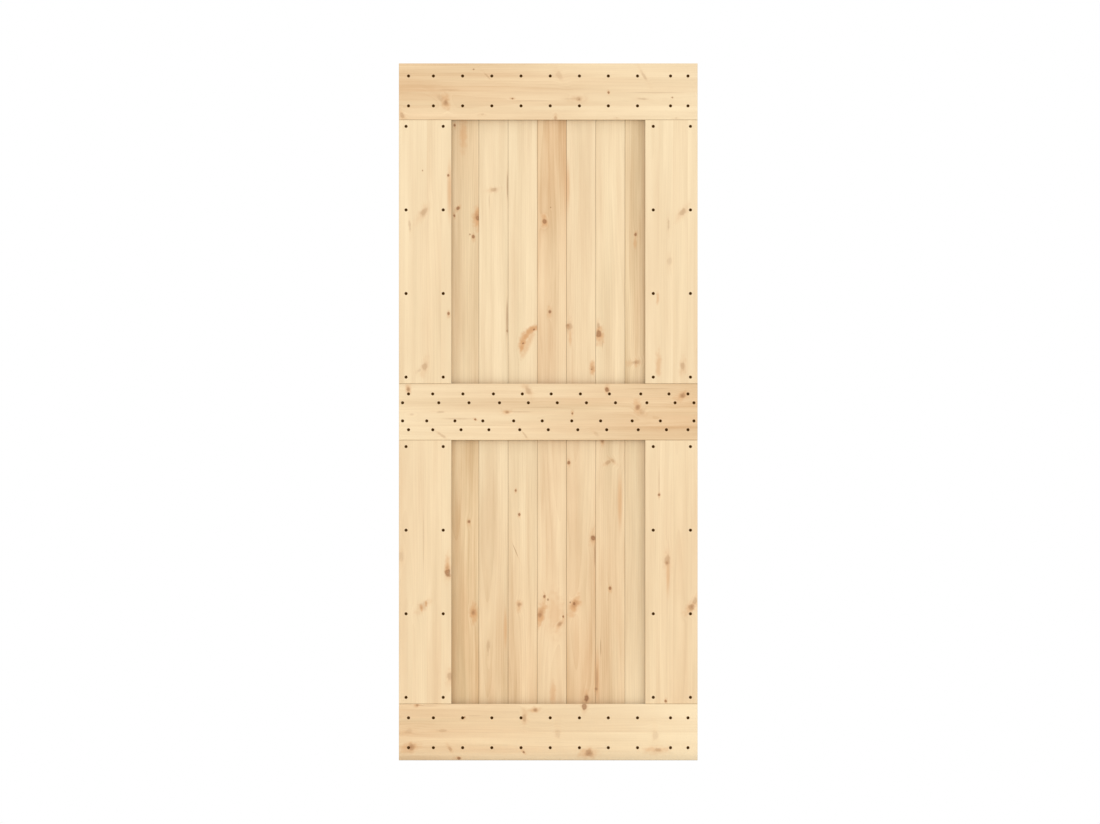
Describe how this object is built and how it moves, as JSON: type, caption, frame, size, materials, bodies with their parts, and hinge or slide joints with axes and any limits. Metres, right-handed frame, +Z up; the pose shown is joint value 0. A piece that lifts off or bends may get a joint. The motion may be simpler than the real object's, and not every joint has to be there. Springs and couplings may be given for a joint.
{
  "type": "sliding barn door leaf",
  "caption": "Hung sliding door leaf of pine: tongue-and-groove boards clamped between a front and a back frame of rails and stiles, screwed from the front.",
  "frame": {"origin": "middle of the leaf's top edge, where it hangs from its track", "axes": "+Z up, +X to the right seen from the front, front face towards -Y"},
  "size_m": [0.9, 0.044, 2.1],
  "materials": {
    "frame_pine": "planed, bare",
    "board_pine": "planed, bare",
    "screw_black": "black phosphated"
  },
  "bodies": {
    "root": {"front_top_rail": "frame_pine", "front_middle_rail": "frame_pine", "front_bottom_rail": "frame_pine", "front_upper_left_stile": "frame_pine", "front_upper_right_stile": "frame_pine", "front_lower_left_stile": "frame_pine", "front_lower_right_stile": "frame_pine", "back_top_rail": "frame_pine", "back_middle_rail": "frame_pine", "back_bottom_rail": "frame_pine", "back_upper_left_stile": "frame_pine", "back_upper_right_stile": "frame_pine", "back_lower_left_stile": "frame_pine", "back_lower_right_stile": "frame_pine", "upper_board_01": "board_pine", "upper_board_02": "board_pine", "upper_board_03": "board_pine", "upper_board_04": "board_pine", "upper_board_05": "board_pine", "upper_board_06": "board_pine", "upper_board_07": "board_pine", "upper_board_08": "board_pine", "upper_board_09": "board_pine", "upper_board_10": "board_pine", "upper_board_11": "board_pine", "lower_board_01": "board_pine", "lower_board_02": "board_pine", "lower_board_03": "board_pine", "lower_board_04": "board_pine", "lower_board_05": "board_pine", "lower_board_06": "board_pine", "lower_board_07": "board_pine", "lower_board_08": "board_pine", "lower_board_09": "board_pine", "lower_board_10": "board_pine", "lower_board_11": "board_pine"}
  },
  "joints": []
}
